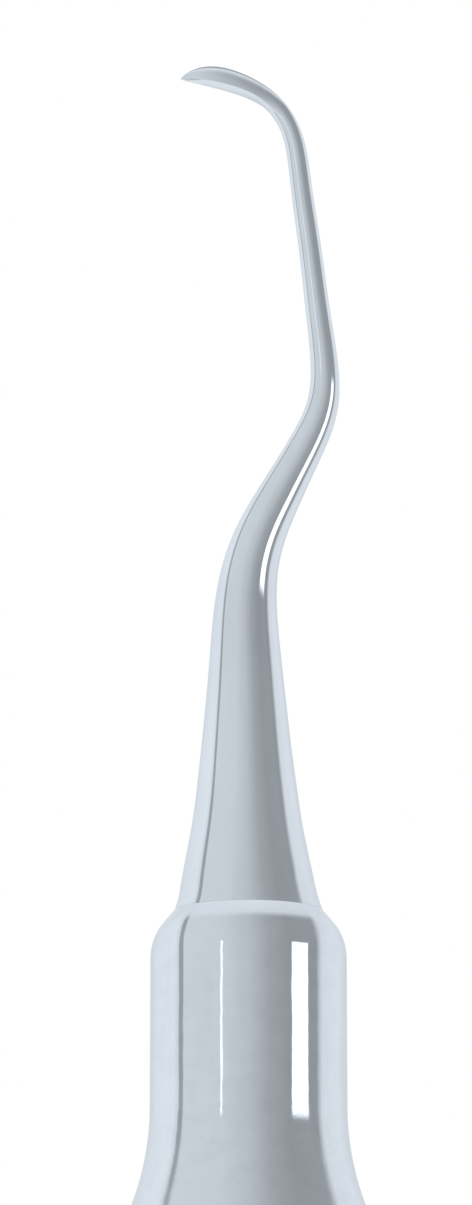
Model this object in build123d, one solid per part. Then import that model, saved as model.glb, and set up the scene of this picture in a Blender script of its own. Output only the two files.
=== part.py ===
from build123d import *
import math
import os

# Double-ended hand scaler, millimetres.
# The handle's axis is Z and the origin is the middle of the handle.  The front
# working end points up (+Z); its hook bends towards -X.  The rear working end is
# the mirror-image partner of the front one: every point (x, y, z) of the front
# assembly goes to (-x, -y, -z).

# ---------------------------------------------------------------- dimensions
HANDLE_OD = 10.0          # hollow handle, outside
HANDLE_ID = 8.6           # hollow handle, inside
HANDLE_LEN = 80.0         # tube from seam to seam
SEAM_CHAMFER = 0.15       # small break of the edges at each seam
COLLAR_LEN = 15.0         # nose collar, rim to seam
SPIGOT_R = 4.28           # collar spigot, 0.02 under the tube's inside radius
SPIGOT_LEN = 12.0
RIM_Z = HANDLE_LEN / 2 + COLLAR_LEN     # 55.0
RIM_R = 2.80              # where the working end's cone meets the collar
SHOULDER_RHO = 2.11       # rolled shoulder
NECK_R_TOP = 3.69         # polished neck, just below the shoulder
NECK_R_BOTTOM = 3.71      # polished neck, where the flare starts
FLARE_START = 7.4         # below the rim
FLARE_RHO_IN = 10.6       # concave sweep of the flare
FLARE_TILT = 20.4         # degrees, steepest slope of the flare
TANG_R = 1.20             # tang of the working end
TANG_LEN = 12.0
BORE_R = 1.35             # collar bore, leaves a 0.15 bond line
BORE_LEN = 12.6
BAND_GROOVE_W = 0.35      # ring grooves that border the knurled bands of the grip
BAND_GROOVE_D = 0.18
# groove centres, distance from the handle's middle; +-14 mm stays plain
GRIP_GROOVES = (14.175, 21.5, 22.2, 28.8, 29.5, 36.825)
GRIP_BANDS = ((14.35, 21.325), (22.375, 28.625), (29.675, 36.65))   # knurled
KNURL_MEAN_R = 4.95       # middle of the knurl's relief, crests reach 5.0

# Working end: centreline x, z, half thickness in the plane of the bend,
# half width across that plane, and how far the section has changed from a round
# rod (0) to a sickle blade (1).
STATIONS = (
    (0.000, 55.000, 2.800, 2.800, 0.0),
    (-0.006, 55.180, 2.722, 2.722, 0.0),
    (-0.014, 55.400, 2.668, 2.668, 0.0),
    (-0.024, 55.640, 2.615, 2.615, 0.0),
    (-0.034, 56.172, 2.503, 2.503, 0.0),
    (-0.048, 57.182, 2.300, 2.369, 0.0),
    (-0.054, 58.175, 2.110, 2.205, 0.0),
    (-0.060, 59.174, 1.955, 2.063, 0.0),
    (-0.084, 61.183, 1.707, 1.809, 0.0),
    (-0.100, 63.173, 1.497, 1.587, 0.0),
    (-0.125, 65.172, 1.309, 1.388, 0.0),
    (-0.121, 66.180, 1.221, 1.294, 0.0),
    (-0.064, 67.182, 1.136, 1.198, 0.0),
    (0.086, 68.165, 1.054, 1.107, 0.0),
    (0.359, 69.118, 0.975, 1.014, 0.0),
    (0.748, 70.036, 0.898, 0.925, 0.0),
    (1.205, 70.928, 0.825, 0.841, 0.0),
    (1.672, 71.810, 0.755, 0.763, 0.0),
    (2.128, 72.704, 0.691, 0.691, 0.0),
    (2.547, 73.623, 0.632, 0.632, 0.0),
    (2.822, 74.575, 0.580, 0.580, 0.0),
    (2.887, 75.554, 0.537, 0.537, 0.0),
    (2.812, 76.551, 0.501, 0.501, 0.0),
    (2.686, 77.552, 0.474, 0.476, 0.0),
    (2.443, 79.542, 0.439, 0.444, 0.0),
    (2.181, 81.512, 0.420, 0.430, 0.0),
    (1.919, 83.503, 0.395, 0.412, 0.0),
    (1.752, 84.494, 0.377, 0.405, 0.0),
    (1.487, 85.237, 0.362, 0.404, 0.05),
    (1.042, 85.885, 0.358, 0.415, 0.30),
    (0.754, 86.161, 0.363, 0.426, 0.62),
    (0.431, 86.399, 0.375, 0.437, 0.88),
    (0.080, 86.599, 0.392, 0.444, 1.0),
    (-0.290, 86.765, 0.410, 0.447, 1.0),
    (-0.766, 86.930, 0.424, 0.440, 1.0),
    (-1.249, 87.046, 0.411, 0.415, 1.0),
    (-1.735, 87.093, 0.344, 0.345, 1.0),
    (-2.031, 87.079, 0.267, 0.268, 1.0),
    (-2.284, 87.041, 0.174, 0.175, 1.0),
    (-2.470, 86.998, 0.085, 0.085, 1.0),
    (-2.556, 86.976, 0.030, 0.030, 1.0),
)
FACE_TILT = 6.0           # degrees, blade face turned towards -Y
FACE_RISE = 0.17          # blade face lies this fraction of the half width inside
BACK_POWER = 1.45         # 1 = triangular back, 2 = half round back
ARC_HALF = 50.0           # degrees, half of the arc that turns into the face


# ---------------------------------------------------------------- working end
def tangent(i):
    a = STATIONS[max(i - 1, 0)]
    c = STATIONS[min(i + 1, len(STATIONS) - 1)]
    tx, tz = c[0] - a[0], c[1] - a[1]
    n = math.hypot(tx, tz)
    return tx / n, tz / n


def section_uw(r, b, beta, count_back=15, count_face=7):
    """Outline in the section's own axes: u towards -Y, w towards the outer side
    of the bend.  Returns the back curve and the face curve."""
    tilt = math.radians(FACE_TILT)
    e_w = -r + b * FACE_RISE + b * math.sin(tilt)
    back, face = [], []
    a0 = -(90.0 - ARC_HALF)
    for k in range(count_back):
        q = k / (count_back - 1)
        th = math.radians(a0 + (180.0 - 2 * a0) * q)
        ru, rw = b * math.cos(th), r * math.sin(th)
        al = math.pi * q
        cu, cw = math.cos(al), math.sin(al)
        bu = b * math.copysign(abs(cu) ** (2 / BACK_POWER), cu)
        bw = (r - e_w) * max(cw, 0.0) ** (2 / BACK_POWER)
        bw = e_w + bw + bu * math.sin(tilt) * (1 - max(cw, 0.0))
        back.append((ru + (bu - ru) * beta, rw + (bw - rw) * beta))
    for k in range(count_face):
        q = k / (count_face - 1)
        th = math.radians(180.0 - a0 + 2 * ARC_HALF * q)
        ru, rw = b * math.cos(th), r * math.sin(th)
        fu = -b + 2 * b * q
        fw = e_w + fu * math.sin(tilt)
        face.append((ru + (fu - ru) * beta, rw + (fw - rw) * beta))
    face[0], face[-1] = back[-1], back[0]
    return back, face


def section_wire(i):
    x, z, r, b, beta = STATIONS[i]
    tx, tz = tangent(i)
    if i < 4:
        tx, tz = 0.0, 1.0
    nx, nz = tz, -tx                       # outer side of the bend
    back, face = section_uw(r, b, beta)

    def place(p):
        u, w = p
        return Vector(x + nx * w, -u, z + nz * w)

    return Wire([Spline(*[place(p) for p in back]), Spline(*[place(p) for p in face])])


def make_working_end():
    blade = Solid.make_loft([section_wire(i) for i in range(len(STATIONS))], ruled=False)
    tang = Pos(0, 0, RIM_Z - TANG_LEN) * Cylinder(
        TANG_R, TANG_LEN + 1.0, align=(Align.CENTER, Align.CENTER, Align.MIN))
    return blade + tang


# ---------------------------------------------------------------- nose collar
def make_nose_collar():
    sh = math.radians(48.0)
    fl = math.radians(FLARE_TILT)
    sx, sz = NECK_R_TOP - SHOULDER_RHO, RIM_Z - 1.755
    s0 = (sx + SHOULDER_RHO * math.cos(sh), sz + SHOULDER_RHO * math.sin(sh))
    sm = (sx + SHOULDER_RHO * math.cos(sh / 2), sz + SHOULDER_RHO * math.sin(sh / 2))
    s1 = (NECK_R_TOP, sz)
    f0 = (NECK_R_BOTTOM, RIM_Z - FLARE_START)
    cx = NECK_R_BOTTOM + FLARE_RHO_IN
    fm = (cx - FLARE_RHO_IN * math.cos(fl / 2), f0[1] - FLARE_RHO_IN * math.sin(fl / 2))
    f1 = (cx - FLARE_RHO_IN * math.cos(fl), f0[1] - FLARE_RHO_IN * math.sin(fl))
    rho2 = (HANDLE_OD / 2 - f1[0]) / (1 - math.cos(fl))
    gx, gz = HANDLE_OD / 2 - rho2, f1[1] - rho2 * math.sin(fl)
    gm = (gx + rho2 * math.cos(fl / 2), gz + rho2 * math.sin(fl / 2))
    g1 = (HANDLE_OD / 2, gz)
    seam = RIM_Z - COLLAR_LEN
    end = seam - SPIGOT_LEN

    def p(rz):
        return (rz[0], 0, rz[1])

    edges = [
        Line(p((0, RIM_Z)), p((RIM_R, RIM_Z))),
        Line(p((RIM_R, RIM_Z)), p(s0)),
        ThreePointArc(p(s0), p(sm), p(s1)),
        Line(p(s1), p(f0)),
        ThreePointArc(p(f0), p(fm), p(f1)),
        ThreePointArc(p(f1), p(gm), p(g1)),
        Line(p(g1), p((HANDLE_OD / 2, seam + SEAM_CHAMFER))),
        Line(p((HANDLE_OD / 2, seam + SEAM_CHAMFER)), p((HANDLE_OD / 2 - SEAM_CHAMFER, seam))),
        Line(p((HANDLE_OD / 2 - SEAM_CHAMFER, seam)), p((SPIGOT_R, seam))),
        Line(p((SPIGOT_R, seam)), p((SPIGOT_R, end + 0.5))),
        Line(p((SPIGOT_R, end + 0.5)), p((SPIGOT_R - 0.5, end))),
        Line(p((SPIGOT_R - 0.5, end)), p((0, end))),
        Line(p((0, end)), p((0, RIM_Z))),
    ]
    body = revolve(Face(Wire(edges)), axis=Axis.Z, revolution_arc=360)
    bore = Pos(0, 0, RIM_Z - BORE_LEN) * Cylinder(
        BORE_R, BORE_LEN + 1.0, align=(Align.CENTER, Align.CENTER, Align.MIN))
    return body - bore


def make_tang_bond():
    outer = Cylinder(BORE_R, TANG_LEN, align=(Align.CENTER, Align.CENTER, Align.MIN))
    inner = Cylinder(TANG_R, TANG_LEN, align=(Align.CENTER, Align.CENTER, Align.MIN))
    return Pos(0, 0, RIM_Z - TANG_LEN) * (outer - inner)


# ---------------------------------------------------------------- handle
def make_handle_tube():
    h = HANDLE_LEN / 2
    tube = Cylinder(HANDLE_OD / 2, HANDLE_LEN)
    tube = chamfer(tube.edges(), SEAM_CHAMFER)
    tube -= Cylinder(HANDLE_ID / 2, HANDLE_LEN + 2)
    for z in GRIP_GROOVES:
        for side in (1, -1):
            ring = Cylinder(HANDLE_OD / 2 + 1, BAND_GROOVE_W) - Cylinder(
                HANDLE_OD / 2 - BAND_GROOVE_D, BAND_GROOVE_W)
            tube -= Pos(0, 0, side * z) * ring
    for lo, hi in GRIP_BANDS:
        for side in (1, -1):
            ring = Cylinder(HANDLE_OD / 2 + 1, hi - lo) - Cylinder(KNURL_MEAN_R, hi - lo)
            tube -= Pos(0, 0, side * (lo + hi) / 2) * ring
    return tube


# ---------------------------------------------------------------- rear partner
def inverted(shape):
    """Point inversion through the handle's middle: a half turn about Z, then a
    mirror in the XY plane."""
    return mirror(Rot(0, 0, 180) * shape, about=Plane.XY)


front_working_end = make_working_end()
front_nose_collar = make_nose_collar()
front_tang_bond = make_tang_bond()

parts = {
    "front_working_end": front_working_end,
    "front_nose_collar": front_nose_collar,
    "front_tang_bond": front_tang_bond,
    "handle_tube": make_handle_tube(),
    "rear_working_end": inverted(front_working_end),
    "rear_nose_collar": inverted(front_nose_collar),
    "rear_tang_bond": inverted(front_tang_bond),
}

os.makedirs("parts", exist_ok=True)
for name, shape in parts.items():
    solids = shape.solids()
    export_step(solids[0] if len(solids) == 1 else shape, "parts/%s.step" % name)
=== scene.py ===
import math

import bpy
import numpy as np
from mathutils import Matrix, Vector


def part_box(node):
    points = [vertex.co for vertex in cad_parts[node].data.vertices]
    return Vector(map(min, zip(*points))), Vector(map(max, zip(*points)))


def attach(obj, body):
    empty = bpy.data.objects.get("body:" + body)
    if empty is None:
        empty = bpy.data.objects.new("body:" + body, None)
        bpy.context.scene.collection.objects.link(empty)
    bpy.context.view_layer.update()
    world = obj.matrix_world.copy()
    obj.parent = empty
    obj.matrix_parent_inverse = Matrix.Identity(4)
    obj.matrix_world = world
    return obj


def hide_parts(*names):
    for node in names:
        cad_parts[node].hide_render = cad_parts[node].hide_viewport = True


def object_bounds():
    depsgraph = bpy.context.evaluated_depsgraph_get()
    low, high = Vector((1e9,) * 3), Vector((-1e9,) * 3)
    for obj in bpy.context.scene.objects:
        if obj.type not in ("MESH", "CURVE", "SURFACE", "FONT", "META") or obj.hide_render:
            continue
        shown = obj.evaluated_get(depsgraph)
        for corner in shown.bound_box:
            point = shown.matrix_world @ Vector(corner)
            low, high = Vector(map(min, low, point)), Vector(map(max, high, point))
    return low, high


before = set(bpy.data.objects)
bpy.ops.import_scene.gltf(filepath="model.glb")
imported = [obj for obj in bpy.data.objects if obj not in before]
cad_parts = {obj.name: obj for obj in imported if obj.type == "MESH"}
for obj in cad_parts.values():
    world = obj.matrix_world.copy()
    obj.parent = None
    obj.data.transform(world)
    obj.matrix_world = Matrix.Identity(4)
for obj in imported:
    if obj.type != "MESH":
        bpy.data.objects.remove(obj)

CAD_BOX = [list(v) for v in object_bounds()]
MM = 0.001

# ------------------------------------------------------------------ dimensions (mm)
RIM_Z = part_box("front_nose_collar")[1][2] / MM          # 55
SEAM_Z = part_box("handle_tube")[1][2] / MM               # 40
HANDLE_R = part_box("handle_tube")[1][0] / MM             # 5
TOP_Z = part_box("front_working_end")[1][2] / MM

# centreline x, z, half thickness in the bend's plane, half width across it, blade share
STATIONS = (
    (0.000, 55.000, 2.800, 2.800, 0.0),
    (-0.004, 55.114, 2.757, 2.757, 0.0),
    (-0.009, 55.266, 2.703, 2.703, 0.0),
    (-0.015, 55.418, 2.657, 2.657, 0.0),
    (-0.021, 55.560, 2.618, 2.618, 0.0),
    (-0.024, 55.640, 2.597, 2.597, 0.0),
    (-0.026, 55.690, 2.586, 2.586, 0.0),
    (-0.032, 55.874, 2.551, 2.553, 0.0),
    (-0.036, 56.172, 2.495, 2.505, 0.0),
    (-0.044, 56.700, 2.392, 2.420, 0.0),
    (-0.048, 57.182, 2.296, 2.345, 0.0),
    (-0.054, 58.175, 2.105, 2.190, 0.0),
    (-0.060, 59.174, 1.955, 2.060, 0.0),
    (-0.073, 60.180, 1.826, 1.935, 0.0),
    (-0.084, 61.183, 1.707, 1.809, 0.0),
    (-0.092, 62.180, 1.600, 1.696, 0.0),
    (-0.100, 63.173, 1.497, 1.587, 0.0),
    (-0.112, 64.169, 1.401, 1.485, 0.0),
    (-0.125, 65.172, 1.309, 1.388, 0.0),
    (-0.121, 66.180, 1.221, 1.294, 0.0),
    (-0.064, 67.182, 1.136, 1.198, 0.0),
    (0.086, 68.165, 1.054, 1.107, 0.0),
    (0.359, 69.118, 0.975, 1.014, 0.0),
    (0.748, 70.036, 0.898, 0.925, 0.0),
    (1.205, 70.928, 0.825, 0.842, 0.0),
    (1.672, 71.810, 0.755, 0.763, 0.0),
    (2.140, 72.700, 0.700, 0.700, 0.0),
    (2.566, 73.615, 0.645, 0.645, 0.0),
    (2.836, 74.573, 0.588, 0.588, 0.0),
    (2.887, 75.554, 0.537, 0.537, 0.0),
    (2.812, 76.551, 0.501, 0.501, 0.0),
    (2.686, 77.552, 0.474, 0.476, 0.0),
    (2.561, 78.551, 0.454, 0.458, 0.0),
    (2.443, 79.542, 0.439, 0.444, 0.0),
    (2.319, 80.527, 0.429, 0.436, 0.0),
    (2.181, 81.512, 0.420, 0.430, 0.0),
    (2.042, 82.503, 0.409, 0.422, 0.0),
    (1.919, 83.503, 0.395, 0.412, 0.0),
    (1.849, 84.003, 0.386, 0.408, 0.0),
    (1.752, 84.494, 0.377, 0.405, 0.0),
    (1.640, 84.874, 0.369, 0.404, 0.01),
    (1.487, 85.237, 0.362, 0.404, 0.05),
    (1.288, 85.576, 0.358, 0.408, 0.14),
    (1.042, 85.885, 0.358, 0.415, 0.34),
    (0.754, 86.161, 0.363, 0.426, 0.66),
    (0.431, 86.399, 0.375, 0.437, 0.90),
    (0.080, 86.599, 0.392, 0.444, 0.99),
    (-0.290, 86.765, 0.410, 0.447, 1.0),
    (-0.766, 86.930, 0.424, 0.440, 1.0),
    (-1.249, 87.046, 0.411, 0.415, 1.0),
    (-1.735, 87.093, 0.344, 0.345, 1.0),
    (-2.031, 87.079, 0.267, 0.268, 1.0),
    (-2.284, 87.041, 0.174, 0.175, 1.0),
    (-2.470, 86.998, 0.085, 0.085, 1.0),
    (-2.556, 86.976, 0.030, 0.030, 1.0),
)
FACE_TILT = math.radians(6.0)
FACE_RISE = 0.17
FACE_CROWN = 0.05
BACK_POWER = 1.45
ARC_HALF = 50.0
BACK_N, FACE_N = 54, 14
TANG_R, TANG_LEN = 1.20, 12.0
CONE_TOP_Z = 66.6               # the cone ends and the bent shank begins


# ------------------------------------------------------------------ mesh helpers
def spline_through(t, y):
    """Natural cubic spline through (t, y); returns a function giving value and slope."""
    t, y = np.asarray(t, float), np.asarray(y, float)
    n = len(t)
    h = np.diff(t)
    a = np.zeros((n, n))
    r = np.zeros(n)
    a[0, 0] = a[-1, -1] = 1.0
    for i in range(1, n - 1):
        a[i, i - 1], a[i, i], a[i, i + 1] = h[i - 1], 2 * (h[i - 1] + h[i]), h[i]
        r[i] = 6 * ((y[i + 1] - y[i]) / h[i] - (y[i] - y[i - 1]) / h[i - 1])
    m = np.linalg.solve(a, r)

    def f(x):
        x = np.asarray(x, float)
        i = np.clip(np.searchsorted(t, x) - 1, 0, n - 2)
        d, e, hh = x - t[i], t[i + 1] - x, h[i]
        v = m[i] * e ** 3 / (6 * hh) + m[i + 1] * d ** 3 / (6 * hh) + (y[i] / hh - m[i] * hh / 6) * e + (
            y[i + 1] / hh - m[i + 1] * hh / 6) * d
        s = -m[i] * e ** 2 / (2 * hh) + m[i + 1] * d ** 2 / (2 * hh) - (y[i] / hh - m[i] * hh / 6) + (
            y[i + 1] / hh - m[i + 1] * hh / 6)
        return v, s

    return f


def make_object(name, verts, faces, sharp=(), smooth=True):
    """A mesh object in the row frame; verts in mm; sharp is a set of vertex pairs."""
    me = bpy.data.meshes.new(name)
    me.from_pydata([tuple(v) for v in (np.asarray(verts) * MM)], [], faces)
    me.validate()
    me.update()
    me.polygons.foreach_set("use_smooth", [smooth] * len(me.polygons))
    if sharp:
        key = {tuple(sorted(p)) for p in sharp}
        flags = [tuple(sorted(e.vertices)) in key for e in me.edges]
        att = me.attributes.get("sharp_edge") or me.attributes.new("sharp_edge", "BOOLEAN", "EDGE")
        att.data.foreach_set("value", flags)
    me.update()
    ob = bpy.data.objects.new(name, me)
    bpy.context.scene.collection.objects.link(ob)
    return ob


def rings_to_faces(rows, cols, first=0):
    out = []
    for i in range(rows - 1):
        a, b = first + i * cols, first + (i + 1) * cols
        for j in range(cols):
            k = (j + 1) % cols
            out.append((a + j, a + k, b + k, b + j))
    return out


def inverted(ob, name):
    """The rear partner: every vertex goes through the origin."""
    me = ob.data.copy()
    me.name = name
    co = np.empty(len(me.vertices) * 3, dtype=np.float32)
    me.vertices.foreach_get("co", co)
    me.vertices.foreach_set("co", -co)
    me.flip_normals()
    me.update()
    o2 = bpy.data.objects.new(name, me)
    bpy.context.scene.collection.objects.link(o2)
    return o2


# ------------------------------------------------------------------ working end
def section(r, b, beta):
    """Outline arrays (u towards -Y, w towards the outer side of the bend)."""
    e_w = -r + b * FACE_RISE + b * math.sin(FACE_TILT)
    a0 = math.radians(-(90.0 - ARC_HALF))
    q = np.linspace(0, 1, BACK_N)
    th = a0 + (math.pi - 2 * a0) * q
    ru, rw = b * np.cos(th), r * np.sin(th)
    # points crowd towards the two cutting edges and the crown in the same way for both shapes
    al = math.pi * q
    cu, cw = np.cos(al), np.sin(al).clip(0)
    bu = b * np.sign(cu) * np.abs(cu) ** (2 / BACK_POWER)
    bw = e_w + (r - e_w) * cw ** (2 / BACK_POWER) + bu * math.sin(FACE_TILT) * (1 - cw)
    back = np.stack([ru + (bu - ru) * beta, rw + (bw - rw) * beta], 1)
    q = np.linspace(0, 1, FACE_N + 2)[1:-1]
    th = math.pi - a0 + 2 * math.radians(ARC_HALF) * q
    ru, rw = b * np.cos(th), r * np.sin(th)
    fu = -b + 2 * b * q
    fw = e_w + fu * math.sin(FACE_TILT) - FACE_CROWN * b * (1 - (fu / b) ** 2)
    face = np.stack([ru + (fu - ru) * beta, rw + (fw - rw) * beta], 1)
    return np.concatenate([back, face])


def working_end(name):
    st = np.array(STATIONS)
    t = np.r_[0, np.cumsum(np.hypot(*np.diff(st[:, :2], axis=0).T))]
    fx, fz, fr, fb = (spline_through(t, st[:, k]) for k in (0, 1, 2, 3))
    total = t[-1]
    steps = [0.0]
    while steps[-1] < total - 0.01:
        s = steps[-1]
        z = float(fz(s)[0])
        d = 0.035 if s < 0.8 else 0.14 if z < 66 else 0.10 if z < 83.8 else 0.045
        if total - s < 0.5:
            d = 0.03
        steps.append(min(s + d, total))
    steps = np.array(steps)
    x, dx = fx(steps)
    z, dz = fz(steps)
    r, b = fr(steps)[0], fb(steps)[0]
    beta = np.interp(steps, t, st[:, 4])
    ker = np.array([1, 4, 6, 4, 1.0]) / 16
    pad = np.r_[[beta[0]] * 2, beta, [beta[-1]] * 2]
    beta = np.convolve(pad, ker, "valid")
    n = np.hypot(dx, dz)
    tx, tz = dx / n, dz / n
    early = np.clip(steps / 1.2, 0, 1)
    tx = tx * early
    tz = np.sqrt(1 - tx ** 2) * np.sign(tz)
    cols = BACK_N + FACE_N
    verts = []
    # tang: bottom centre, bottom ring, top ring
    base = section(1.0, 1.0, 0.0)
    for rr, zz in ((TANG_R - 0.25, RIM_Z - TANG_LEN), (TANG_R, RIM_Z - TANG_LEN + 0.25), (TANG_R, RIM_Z - 0.02)):
        for u, w in base:
            verts.append((w * rr, -u * rr, zz))
    for u, w in base:
        verts.append((w * 2.70, -u * 2.70, RIM_Z + 0.002))
    lead = 4
    for i in range(len(steps)):
        sec = section(max(r[i], 0.02), max(b[i], 0.02), beta[i])
        nx, nz = tz[i], -tx[i]
        zz = z[i] + (0.004 if i == 0 else 0.0)
        for u, w in sec:
            verts.append((x[i] + nx * w, -u, zz + nz * w))
    rows = lead + len(steps)
    tip = (x[-1] + tx[-1] * 0.02, 0.0, z[-1] + tz[-1] * 0.02)
    cut = lead + int(np.argmax(z >= CONE_TOP_Z))
    # the cone with its tang, then the shank with the blade, each closed
    low = verts[:(cut + 1) * cols]
    faces = rings_to_faces(cut + 1, cols) + [tuple(range(cols))[::-1], tuple(range(cut * cols, (cut + 1) * cols))]
    sharp = {(ring * cols + k, ring * cols + (k + 1) % cols) for ring in (0, 1, 2, 3, 4, cut) for k in range(cols)}
    cone = make_object(name + "_cone", low, faces, sharp)
    high = verts[cut * cols:] + [tip]
    n = rows - cut
    faces = rings_to_faces(n, cols) + [tuple(range(cols))[::-1]]
    faces += [((n - 1) * cols + k, (n - 1) * cols + (k + 1) % cols, n * cols) for k in range(cols)]
    sharp = {(k, (k + 1) % cols) for k in range(cols)}
    for i in range(n - 1):
        if beta[min(i + cut - lead, len(beta) - 1)] > 0.25:
            for k in (0, BACK_N - 1):
                sharp.add((i * cols + k, (i + 1) * cols + k))
    blade = make_object(name + "_blade", high, faces, sharp)
    return cone, blade


# ------------------------------------------------------------------ turned pieces
def turned(name, profile, segments, sharp_rows=()):
    """A closed solid of revolution. The profile runs from the axis, round the outside,
    back to the axis; r = 0 at both ends."""
    verts, faces, sharp = [], [], set()
    prof = list(profile)
    start, end = prof[0], prof[-1]
    mid = prof[1:-1]
    ang = np.linspace(0, 2 * math.pi, segments, endpoint=False)
    ca, sa = np.cos(ang), np.sin(ang)
    for r, z in mid:
        for c, s in zip(ca, sa):
            verts.append((r * c, r * s, z))
    faces = rings_to_faces(len(mid), segments)
    a = len(verts)
    verts.append((0, 0, start[1]))
    verts.append((0, 0, end[1]))
    last = (len(mid) - 1) * segments
    for j in range(segments):
        k = (j + 1) % segments
        faces.append((a, k, j))
        faces.append((a + 1, last + j, last + k))
    for i, (r, z) in enumerate(mid):
        if i in sharp_rows:
            for j in range(segments):
                sharp.add((i * segments + j, i * segments + (j + 1) % segments))
    return make_object(name, verts, faces, sharp)


def auto_sharp(points, limit=22.0):
    """Rows of a profile (without its two axis ends) where it turns by more than limit."""
    out = []
    p = points
    for i in range(1, len(p) - 1):
        a = math.atan2(p[i][1] - p[i - 1][1], p[i][0] - p[i - 1][0])
        b = math.atan2(p[i + 1][1] - p[i][1], p[i + 1][0] - p[i][0])
        d = abs((b - a + math.pi) % (2 * math.pi) - math.pi)
        if math.degrees(d) > limit:
            out.append(i - 1)
    return out


SPLIT_Z = RIM_Z - 7.6          # the polish ends and the satin begins
SEAM_R = HANDLE_R - 0.15
RIM_R = 2.80


def outer_profile():
    """Outside of the nose collar from the seam up to the rim, as (r, z)."""
    rho, sh, fl = 2.05, math.radians(39.5), math.radians(20.4)
    top, rho_top = math.radians(41.9), 15.44
    sx, sz = 3.69 - rho, RIM_Z - 1.7944
    f0 = (3.71, RIM_Z - 7.4)
    cx = f0[0] + 10.6
    f1 = (cx - 10.6 * math.cos(fl), f0[1] - 10.6 * math.sin(fl))
    rho2 = (HANDLE_R - f1[0]) / (1 - math.cos(fl))
    gx, gz = HANDLE_R - rho2, f1[1] - rho2 * math.sin(fl)
    pts = [(HANDLE_R, SEAM_Z + 0.15)]
    for k in range(25):
        a = fl * k / 24
        pts.append((gx + rho2 * math.cos(a), gz + rho2 * math.sin(a)))
    for k in range(23, -1, -1):
        a = fl * k / 24
        pts.append((cx - 10.6 * math.cos(a), f0[1] - 10.6 * math.sin(a)))
    n = 30
    for k in range(1, n + 1):
        q = k / n
        pts.append((3.71 + (3.69 - 3.71) * q, f0[1] + (sz - f0[1]) * q))
    for k in range(1, 41):
        a = sh * k / 40
        pts.append((sx + rho * math.cos(a), sz + rho * math.sin(a)))
    # the land that runs up to the rim, slightly crowned
    r0, z0 = pts[-1]
    lx, lz = r0 - rho_top * math.cos(sh), z0 - rho_top * math.sin(sh)
    for k in range(1, 25):
        a = sh + (top - sh) * k / 24
        pts.append((lx + rho_top * math.cos(a), lz + rho_top * math.sin(a)))
    pts[-1] = (RIM_R, RIM_Z)
    pts.append((RIM_R - 0.004, RIM_Z - 0.002))
    return pts


def split_profile(pts, z):
    low = [p for p in pts if p[1] < z - 1e-6]
    high = [p for p in pts if p[1] > z + 1e-6]
    a, b = low[-1], high[0]
    q = (z - a[1]) / (b[1] - a[1])
    m = (a[0] + (b[0] - a[0]) * q, z)
    return low + [m], [m] + high


def nose_collar(prefix):
    low, high = split_profile(outer_profile(), SPLIT_Z)
    spigot = [(0, SEAM_Z - 12.0), (3.78, SEAM_Z - 12.0), (4.28, SEAM_Z - 11.5), (4.28, SEAM_Z), (SEAM_R, SEAM_Z)]
    flare = spigot + low + [(TANG_R + 0.15, SPLIT_Z), (TANG_R + 0.15, RIM_Z - 12.6), (0, RIM_Z - 12.6)]
    neck = [(0, SPLIT_Z)] + [(2.0, SPLIT_Z)] + high + [(1.35, RIM_Z - 0.002), (0, RIM_Z - 0.002)]
    a = turned(prefix + "_flare", flare, 160, auto_sharp(flare))
    b = turned(prefix + "_neck", neck, 160, auto_sharp(neck))
    return a, b


# ------------------------------------------------------------------ handle
GROOVES = (14.175, 21.5, 22.2, 28.8, 29.5, 36.825)
BANDS = ((14.35, 21.325), (22.375, 28.625), (29.675, 36.65))
STARTS, PER = 40, 6                       # knurl starts round the handle, samples a pitch
KNURL_PITCH_Z, KNURL_DEPTH = 1.36, 0.10


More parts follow.
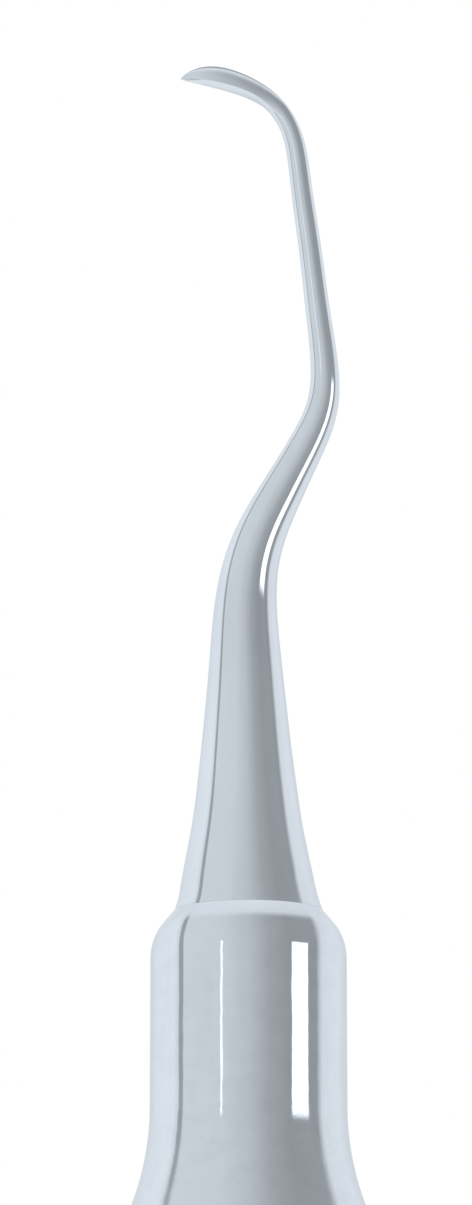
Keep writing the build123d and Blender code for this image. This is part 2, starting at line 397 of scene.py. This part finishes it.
def handle_tube(name):
    cols = STARTS * PER
    rows = []                              # (z, base radius, knurled)

    def plain(z, r):
        rows.append((z, r, 0))

    def side_rows():
        """Rows from the middle of the handle out to one seam."""
        out = [(0.0, HANDLE_R, 0), (7.0, HANDLE_R, 0)]
        marks = []
        for g in GROOVES:
            marks.append(("g", g - 0.175, g + 0.175))
        for a, b in BANDS:
            marks.append(("k", a, b))
        marks.sort(key=lambda m: m[1])
        for kind, a, b in marks:
            if kind == "g":
                out += [(a - 0.03, HANDLE_R, 0), (a, HANDLE_R - 0.03, 0), (a + 0.05, HANDLE_R - 0.17, 0),
                        (a + 0.09, HANDLE_R - 0.18, 0), (b - 0.09, HANDLE_R - 0.18, 0),
                        (b - 0.05, HANDLE_R - 0.17, 0), (b, HANDLE_R - 0.03, 0), (b + 0.03, HANDLE_R, 0)]
            else:
                lo, hi = a + 0.06, b - 0.06
                step = KNURL_PITCH_Z / PER
                k0, k1 = math.ceil(lo / step), math.floor(hi / step)
                out.append((lo - 0.02, HANDLE_R, 0))
                out += [(k * step, HANDLE_R, 1) for k in range(k0, k1 + 1)]
                out.append((hi + 0.02, HANDLE_R, 0))
        out += [(38.2, HANDLE_R, 0), (SEAM_Z - 0.15, HANDLE_R, 0), (SEAM_Z, SEAM_R, 0)]
        return out

    half = side_rows()
    rows = [(-z, r, k) for z, r, k in half[::-1][:-1]] + half
    ang = np.linspace(0, 2 * math.pi, cols, endpoint=False)
    idx = np.arange(cols)
    verts = []
    for z, r, k in rows:
        rr = np.full(cols, r)
        if k:
            m = round(z / (KNURL_PITCH_Z / PER))
            u1 = ((idx + m) % PER) / PER
            u2 = ((idx - m) % PER) / PER
            g1 = np.clip(1 - np.minimum(u1, 1 - u1) * PER / 1.6, 0, 1)
            g2 = np.clip(1 - np.minimum(u2, 1 - u2) * PER / 1.6, 0, 1)
            rr = r - KNURL_DEPTH * np.maximum(g1, g2)
        for c, s, q in zip(np.cos(ang), np.sin(ang), rr):
            verts.append((q * c, q * s, z))
    n_out = len(rows)
    faces = []
    for i in range(n_out - 1):
        a, b = i * cols, (i + 1) * cols
        kn = rows[i][2] and rows[i + 1][2]
        m = round(rows[i][0] / (KNURL_PITCH_Z / PER)) if kn else 0
        for j in range(cols):
            k = (j + 1) % cols
            if kn:
                # split each quad along the groove that crosses it
                if (j + m) % PER in (0, 5, 1, 4) and (j + m + 1) % PER != 3 and min((j + m) % PER, PER - (j + m) % PER) <= min(
                        (j - m) % PER, PER - (j - m) % PER):
                    faces.append((a + j, a + k, b + j))
                    faces.append((a + k, b + k, b + j))
                else:
                    faces.append((a + j, a + k, b + k))
                    faces.append((a + j, b + k, b + j))
            else:
                faces.append((a + j, a + k, b + k, b + j))
    # inside wall
    inner = 4.30
    first = len(verts)
    for z in (SEAM_Z, -SEAM_Z):
        for c, s in zip(np.cos(ang), np.sin(ang)):
            verts.append((inner * c, inner * s, z))
    last = (n_out - 1) * cols
    for j in range(cols):
        k = (j + 1) % cols
        faces.append((last + j, last + k, first + k, first + j))
        faces.append((first + j, first + k, first + cols + k, first + cols + j))
        faces.append((first + cols + j, first + cols + k, k, j))
    ob = make_object(name, verts, faces)
    import bmesh
    bm = bmesh.new()
    bm.from_mesh(ob.data)
    bmesh.ops.recalc_face_normals(bm, faces=bm.faces[:])
    lim = math.radians(16)
    for e in bm.edges:
        if len(e.link_faces) == 2 and e.calc_face_angle(0.0) > lim:
            e.smooth = False
    bm.to_mesh(ob.data)
    bm.free()
    return ob


# ------------------------------------------------------------------ materials
def new_material(name):
    m = bpy.data.materials.new(name)
    m.use_nodes = True
    nt = m.node_tree
    nt.nodes.clear()
    out = nt.nodes.new("ShaderNodeOutputMaterial")
    bs = nt.nodes.new("ShaderNodeBsdfPrincipled")
    nt.links.new(bs.outputs[0], out.inputs["Surface"])
    return m, nt, bs


def add(nt, kind, **props):
    n = nt.nodes.new(kind)
    for k, v in props.items():
        setattr(n, k, v)
    return n


def noise_node(nt, coord, scale, detail=2.0, rough=0.5, stretch=(1, 1, 1)):
    mp = add(nt, "ShaderNodeMapping")
    mp.inputs["Scale"].default_value = stretch
    nt.links.new(coord, mp.inputs["Vector"])
    no = add(nt, "ShaderNodeTexNoise")
    no.inputs["Scale"].default_value = scale
    no.inputs["Detail"].default_value = detail
    no.inputs["Roughness"].default_value = rough
    nt.links.new(mp.outputs[0], no.inputs["Vector"])
    return no.outputs[0]


def remap(nt, src, a, b, c, d):
    m = add(nt, "ShaderNodeMapRange")
    for k, v in zip(("From Min", "From Max", "To Min", "To Max"), (a, b, c, d)):
        m.inputs[k].default_value = v
    nt.links.new(src, m.inputs["Value"])
    return m.outputs[0]


def math_node(nt, op, a, b=None, c=None, clamp=False):
    m = add(nt, "ShaderNodeMath", operation=op, use_clamp=clamp)
    for i, v in enumerate((a, b, c)):
        if v is None:
            continue
        if isinstance(v, (int, float)):
            m.inputs[i].default_value = v
        else:
            nt.links.new(v, m.inputs[i])
    return m.outputs[0]


def colour_ramp(nt, fac, stops, interpolation="LINEAR"):
    cr = add(nt, "ShaderNodeValToRGB")
    el = cr.color_ramp.elements
    cr.color_ramp.interpolation = interpolation
    while len(el) > 1:
        el.remove(el[-1])
    for i, (p, col) in enumerate(stops):
        e = el[0] if i == 0 else el.new(p)
        e.position = p
        e.color = (*col, 1.0) if len(col) == 3 else col
    nt.links.new(fac, cr.inputs[0])
    return cr.outputs[0]


STEEL = (0.690, 0.755, 0.820)


def steel(name, rough_lo, rough_hi, grain_scale, grain_stretch, bump, tone=1.0, low=0.955, high=1.03,
          slow_scale=260.0, slow_stretch=(1, 1, 1), wave=0.0, wave_scale=700.0, wave_stretch=(1, 1, 0.6)):
    """Stainless steel. Tone and roughness drift slowly over the surface and with the fine
    polishing grain; wave is the depth in micrometres of the unevenness left by hand polishing."""
    m, nt, bs = new_material(name)
    co = add(nt, "ShaderNodeTexCoord").outputs["Object"]
    base = tuple(c * tone for c in STEEL)
    slow = noise_node(nt, co, slow_scale, 3.0, 0.55, slow_stretch)
    fine = noise_node(nt, co, grain_scale, 3.0, 0.6, grain_stretch)
    mix = math_node(nt, "ADD", math_node(nt, "MULTIPLY", slow, 0.6), math_node(nt, "MULTIPLY", fine, 0.4))
    col = colour_ramp(nt, mix, (
        (0.34, tuple(c * low for c in base)),
        (0.52, base),
        (0.70, tuple(min(c * high, 1.0) for c in base))))
    nt.links.new(col, bs.inputs["Base Color"])
    bs.inputs["Metallic"].default_value = 1.0
    bs.inputs["Specular Tint"].default_value = (0.86, 0.885, 0.91, 1.0)
    r = remap(nt, mix, 0.30, 0.72, rough_lo, rough_hi)
    nt.links.new(r, bs.inputs["Roughness"])
    bp = add(nt, "ShaderNodeBump")
    bp.inputs["Strength"].default_value = bump
    bp.inputs["Distance"].default_value = 0.00002
    nt.links.new(fine, bp.inputs["Height"])
    normal = bp.outputs[0]
    if wave > 0:
        wv = add(nt, "ShaderNodeBump")
        wv.inputs["Strength"].default_value = 1.0
        wv.inputs["Distance"].default_value = wave * 1e-6
        nt.links.new(noise_node(nt, co, wave_scale, 2.0, 0.5, wave_stretch), wv.inputs["Height"])
        nt.links.new(normal, wv.inputs["Normal"])
        normal = wv.outputs[0]
    nt.links.new(normal, bs.inputs["Normal"])
    return m


MAT_TIP = steel("polished_steel", 0.025, 0.060, 2600.0, (1, 1, 0.12), 0.05, wave=2.0, wave_scale=900.0, wave_stretch=(1, 1, 0.35))
MAT_NECK = steel("polished_neck_steel", 0.020, 0.045, 2200.0, (1, 1, 0.25), 0.04, low=0.955, high=1.03,
                 slow_scale=900.0, slow_stretch=(1, 1, 1.6), wave=6.0, wave_scale=900.0, wave_stretch=(1, 1, 0.7))
MAT_SATIN = steel("satin_steel", 0.24, 0.32, 6500.0, (1, 1, 1), 0.12, tone=0.99, low=0.93, high=1.05,
                  slow_scale=900.0, slow_stretch=(1, 1, 3.2))


def fade_to_satin(mat):
    """Roughness rises from polished at the top of the flare to satin further down."""
    nt = mat.node_tree
    bs = [n for n in nt.nodes if n.type == "BSDF_PRINCIPLED"][0]
    old = bs.inputs["Roughness"].links[0].from_socket
    co = add(nt, "ShaderNodeTexCoord").outputs["Object"]
    sep = add(nt, "ShaderNodeSeparateXYZ")
    nt.links.new(co, sep.inputs[0])
    z = math_node(nt, "ABSOLUTE", sep.outputs["Z"])
    wob = noise_node(nt, co, 900.0, 3.0, 0.6)
    z = math_node(nt, "MULTIPLY_ADD", wob, 0.0011, z)
    z = math_node(nt, "SUBTRACT", z, 0.00055)
    k = colour_ramp(nt, remap(nt, z, 0.0400, 0.0480, 0, 1), (
        (0.0, (1, 1, 1)), (0.25, (0.62, 0.62, 0.62)), (0.45, (0.40, 0.40, 0.40)), (0.72, (0.30, 0.30, 0.30)), (0.88, (0.22, 0.22, 0.22)), (0.985, (0.11, 0.11, 0.11))))
    sc = add(nt, "ShaderNodeSeparateColor")
    nt.links.new(k, sc.inputs[0])
    nt.links.new(math_node(nt, "MULTIPLY", old, sc.outputs[0]), bs.inputs["Roughness"])
    return mat


MAT_FLARE = fade_to_satin(steel("satin_flare_steel", 0.24, 0.32, 6500.0, (1, 1, 1), 0.05, low=0.955, high=1.03,
                                slow_scale=900.0, slow_stretch=(1, 1, 1.6), wave=6.0, wave_scale=900.0, wave_stretch=(1, 1, 0.7)))


def bond_material():
    m, nt, bs = new_material("cured_bond")
    co = add(nt, "ShaderNodeTexCoord").outputs["Object"]
    n = noise_node(nt, co, 1400.0, 4.0, 0.6)
    col = colour_ramp(nt, n, ((0.3, (0.030, 0.030, 0.032)), (0.7, (0.055, 0.055, 0.058))))
    nt.links.new(col, bs.inputs["Base Color"])
    nt.links.new(remap(nt, n, 0.3, 0.7, 0.45, 0.65), bs.inputs["Roughness"])
    bp = add(nt, "ShaderNodeBump")
    bp.inputs["Strength"].default_value = 0.3
    bp.inputs["Distance"].default_value = 0.00003
    nt.links.new(n, bp.inputs["Height"])
    nt.links.new(bp.outputs[0], bs.inputs["Normal"])
    return m


MAT_BOND = bond_material()


def finish_piece(ob, mat, node):
    ob.data.materials.clear()
    ob.data.materials.append(mat)
    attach(ob, "root")
    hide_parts(node)


front_cone, front_blade = working_end("front_end")
rear_cone = inverted(front_cone, "rear_end_cone")
rear_blade = inverted(front_blade, "rear_end_blade")
front_flare, front_neck = nose_collar("front")
rear_flare = inverted(front_flare, "rear_flare")
rear_neck = inverted(front_neck, "rear_neck")
handle = handle_tube("grip_tube")
for o in (front_cone, front_blade):
    finish_piece(o, MAT_TIP, "front_working_end")
for o in (rear_cone, rear_blade):
    finish_piece(o, MAT_TIP, "rear_working_end")
for o in (front_flare, rear_flare):
    finish_piece(o, MAT_FLARE, "front_nose_collar" if o is front_flare else "rear_nose_collar")
for o in (front_neck, rear_neck):
    finish_piece(o, MAT_NECK, "front_nose_collar" if o is front_neck else "rear_nose_collar")
finish_piece(handle, MAT_SATIN, "handle_tube")
for n in ("front_tang_bond", "rear_tang_bond"):
    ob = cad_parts[n]
    for i in range(max(1, len(ob.material_slots))):
        if ob.material_slots:
            ob.material_slots[i].material = MAT_BOND
        else:
            ob.data.materials.append(MAT_BOND)

# ------------------------------------------------------------------ studio
# One soft light tent round the whole object, with a softbox, a strip lamp and dark flags
# in it. All pieces mirror the same tent. A card's place is given by the way a surface
# faces that mirrors it to the front: turn is that surface's compass angle in degrees, 0
# towards the front and +90 towards +X, and tilt is how far it looks up.
UP, AWAY = math.sin(math.radians(10.0)), math.cos(math.radians(10.0))


class Tent:
    """A large sphere of soft light round the object, seen only in reflections."""

    def __init__(self, name, radius):
        self.name, self.radius = name, radius
        self.mat = bpy.data.materials.new(name + "_light")
        self.mat.use_nodes = True
        nt = self.nt = self.mat.node_tree
        nt.nodes.clear()
        pos = add(nt, "ShaderNodeNewGeometry").outputs["Position"]
        nrm = add(nt, "ShaderNodeVectorMath", operation="NORMALIZE")
        nt.links.new(pos, nrm.inputs[0])
        sep = add(nt, "ShaderNodeSeparateXYZ")
        nt.links.new(nrm.outputs[0], sep.inputs[0])
        side = sep.outputs["X"]
        near = math_node(nt, "SUBTRACT", AWAY, sep.outputs["Y"])
        high = math_node(nt, "SUBTRACT", sep.outputs["Z"], UP)
        deg = 180 / math.pi
        self.turn = math_node(nt, "MULTIPLY", math_node(nt, "ARCTAN2", side, near), deg)
        flat = math_node(nt, "SQRT", math_node(nt, "MULTIPLY_ADD", side, side, math_node(nt, "MULTIPLY", near, near)))
        self.tilt = math_node(nt, "MULTIPLY", math_node(nt, "ARCTAN2", high, flat), deg)
        fac = math_node(nt, "MULTIPLY_ADD", self.turn, 1 / 180.0, 0.5)
        ramp = colour_ramp(nt, fac, [((a + 90) / 180.0, (v, v, v)) for a, v in PANEL])
        sc = add(nt, "ShaderNodeSeparateColor")
        nt.links.new(ramp, sc.inputs[0])
        self.level = sc.outputs[0]

    def edge(self, src, a, b, rising):
        m = add(self.nt, "ShaderNodeMapRange", interpolation_type="SMOOTHSTEP")
        lo, hi = (0.0, 1.0) if rising else (1.0, 0.0)
        for k, v in zip(("From Min", "From Max", "To Min", "To Max"), (a, b, lo, hi)):
            m.inputs[k].default_value = v
        self.nt.links.new(src, m.inputs["Value"])
        return m.outputs[0]

    def card(self, value, turn, tilt=(-90, 90), soft=(0.5, 2.0)):
        """One card or lamp in front of what is there already."""
        nt, mask = self.nt, None
        for src, (lo, hi), s in ((self.turn, turn, soft[0]), (self.tilt, tilt, soft[1])):
            for lim, rising in ((lo, True), (hi, False)):
                if abs(lim) < 90:
                    e = self.edge(src, lim - s, lim + s, rising)
                    mask = e if mask is None else math_node(nt, "MULTIPLY", mask, e)
        diff = math_node(nt, "SUBTRACT", value, self.level)
        self.level = math_node(nt, "MULTIPLY_ADD", mask, diff, self.level)

    def build(self):
        nt = self.nt
        out = add(nt, "ShaderNodeOutputMaterial")
        em = add(nt, "ShaderNodeEmission")
        nt.links.new(self.level, em.inputs["Strength"])
        tr = add(nt, "ShaderNodeBsdfTransparent")
        sh = add(nt, "ShaderNodeAddShader")
        nt.links.new(em.outputs[0], sh.inputs[0])
        nt.links.new(tr.outputs[0], sh.inputs[1])
        nt.links.new(sh.outputs[0], out.inputs["Surface"])
        self.mat.cycles.emission_sampling = "NONE"
        import bmesh
        me = bpy.data.meshes.new(self.name)
        bm = bmesh.new()
        bmesh.ops.create_uvsphere(bm, u_segments=96, v_segments=48, radius=self.radius)
        bm.to_mesh(me)
        bm.free()
        me.materials.append(self.mat)
        ob = bpy.data.objects.new(self.name, me)
        bpy.context.scene.collection.objects.link(ob)
        ob.visible_camera = False
        ob.visible_diffuse = False
        ob.visible_shadow = False
        ob.visible_transmission = False


# the tent: bright at both sides, with a soft gradient from the left to the shaded right
PANEL = ((-90, 0.80), (-70, 1.0), (-49, 1.0), (-45, 0.83), (-15, 0.80), (0, 0.67), (12, 0.48), (24, 0.40), (43, 0.42), (48, 0.92), (65, 1.0),
         (90, 0.80))
tent = Tent("studio_tent", 3.0)
tent.card(0.45, (-45, -41.5))                                 # dark flag, left
tent.card(0.40, (38, 44), (-90, 10), (0.8, 3.0))              # dark flag, right
tent.card(1.6, (-16.5, -15.4), (-90, 3.5), (0.3, 1.0))        # strip lamp
tent.card(1.6, (26, 37), (-90, 3.5), (0.4, 1.0))              # softbox
tent.card(0.95, (-90, 90), (36, 90), (0.5, 6.0))              # light top of the tent
tent.card(0.45, (-90, 90), (45, 75), (0.5, 3.0))              # dark flag overhead
tent.build()

# world: white to the camera and to the floor; the metal gets its light from the tent
world = bpy.data.worlds.new("studio")
bpy.context.scene.world = world
world.use_nodes = True
wt = world.node_tree
wt.nodes.clear()
wo = add(wt, "ShaderNodeOutputWorld")
bg = add(wt, "ShaderNodeBackground")
bg.inputs["Color"].default_value = (1, 1, 1, 1)
lp = add(wt, "ShaderNodeLightPath")
notgloss = math_node(wt, "SUBTRACT", 1.0, lp.outputs["Is Glossy Ray"])
wt.links.new(notgloss, bg.inputs["Strength"])
wt.links.new(bg.outputs[0], wo.inputs["Surface"])

# floor: pale, under the lower tip; seen from above only
fm, fnt, fbs = new_material("pale_floor")
fco = add(fnt, "ShaderNodeTexCoord").outputs["Object"]
fn = noise_node(fnt, fco, 9.0, 3.0, 0.5)
fcol = colour_ramp(fnt, fn, ((0.3, (0.90, 0.905, 0.91)), (0.7, (0.93, 0.935, 0.94))))
fnt.links.new(fcol, fbs.inputs["Base Color"])
fbs.inputs["Roughness"].default_value = 0.8
fbs.inputs["Specular IOR Level"].default_value = 0.0
geo = add(fnt, "ShaderNodeNewGeometry")
tr = add(fnt, "ShaderNodeBsdfTransparent")
mx = add(fnt, "ShaderNodeMixShader")
fout = [n for n in fnt.nodes if n.type == "OUTPUT_MATERIAL"][0]
fnt.links.new(geo.outputs["Backfacing"], mx.inputs[0])
fnt.links.new(fbs.outputs[0], mx.inputs[1])
fnt.links.new(tr.outputs[0], mx.inputs[2])
fnt.links.new(mx.outputs[0], fout.inputs["Surface"])
floor_z = CAD_BOX[0][2]
fme = bpy.data.meshes.new("floor")
fr = 2.5
seg = 64
fme.from_pydata([(fr * math.cos(2 * math.pi * k / seg), fr * math.sin(2 * math.pi * k / seg), floor_z) for k in range(seg)],
                [], [tuple(range(seg))])
fme.materials.append(fm)
floor = bpy.data.objects.new("floor", fme)
bpy.context.scene.collection.objects.link(floor)
floor.visible_glossy = False

# camera: slightly below the working end, looking up along the handle
ELEV = math.radians(10.0)
DIST = 500.0
TARGET = Vector((-0.4726, 0.0, 66.773))
view_dir = Vector((0, math.cos(ELEV), math.sin(ELEV)))
cam_data = bpy.data.cameras.new("camera")
cam = bpy.data.objects.new("camera", cam_data)
bpy.context.scene.collection.objects.link(cam)
cam_data.type = "PERSP"
cam_data.sensor_fit = "AUTO"
cam_data.sensor_width = 36.0
PX_MM = 26.5
half_h = 1205 / 2 / PX_MM
cam_data.lens = 18.0 / (half_h / DIST)
cam_data.clip_start, cam_data.clip_end = 0.01, 50.0
cam.location = (TARGET - view_dir * DIST) * MM
cam.rotation_mode = "QUATERNION"
cam.rotation_quaternion = view_dir.to_track_quat("-Z", "Y")
bpy.context.scene.camera = cam

bpy.context.scene.view_settings.view_transform = "Standard"
bpy.context.scene.view_settings.look = "None"
